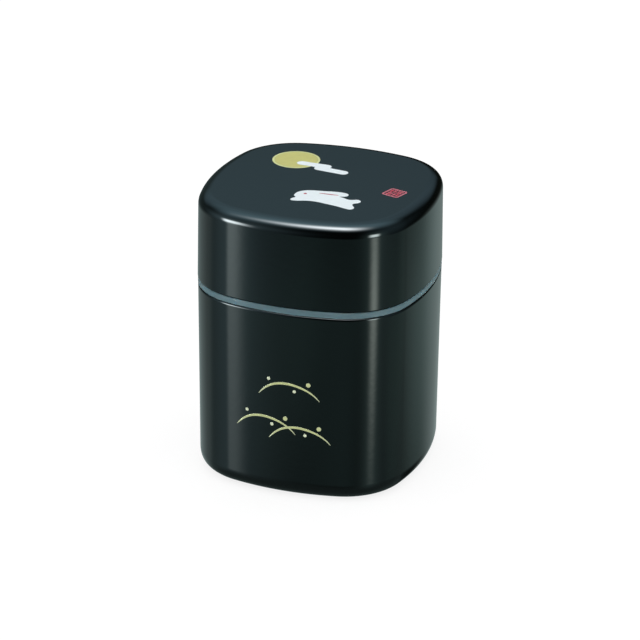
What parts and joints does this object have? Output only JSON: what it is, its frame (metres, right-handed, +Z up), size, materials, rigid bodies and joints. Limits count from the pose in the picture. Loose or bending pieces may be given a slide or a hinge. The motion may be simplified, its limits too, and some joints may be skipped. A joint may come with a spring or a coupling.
{
  "type": "tea caddy",
  "caption": "Tall tea caddy with bowed sides and rounded corners: a lacquered body, a push-in inner seal lid whose edge shows as a pale band, and a deep lift-off outer lid.",
  "frame": {"origin": "centre of the foot, on the plane the caddy stands on", "axes": "+Z up through the lids, -Y the printed front, +X to the right of a viewer facing the front"},
  "size_m": [0.084, 0.084, 0.1064],
  "materials": {
    "body_lacquer": "black urethane lacquer sprayed over a moulded body, semi-gloss",
    "lid_lacquer": "black urethane lacquer sprayed over a moulded lid, semi-gloss",
    "seal_plastic": "translucent milky polyethylene, soft satin surface",
    "moon_ink": "yellow-gold printed ink, satin, with a paler rim",
    "gold_ink": "pale gold printed ink, satin",
    "white_ink": "cool white printed ink, satin",
    "red_ink": "dull red printed ink",
    "stamp_ink": "crimson printed ink"
  },
  "bodies": {
    "body": {"caddy_body": "body_lacquer", "grass_print": "gold_ink", "dew_drop_print": "gold_ink"},
    "seal": {"seal_lid": "seal_plastic"},
    "lid": {"outer_lid": "lid_lacquer", "moon_print": "moon_ink", "cloud_print": "white_ink", "rabbit_print": "white_ink", "rabbit_detail_print": "red_ink", "stamp_print": "stamp_ink"}
  },
  "joints": [
    {"name": "seal_lid_lift", "type": "slide", "parent": "body", "child": "seal", "axis": [0, 0, 1], "range_m": [0, 0.018]},
    {"name": "outer_lid_lift", "type": "slide", "parent": "seal", "child": "lid", "axis": [0, 0, 1], "range_m": [0, 0.034]}
  ]
}
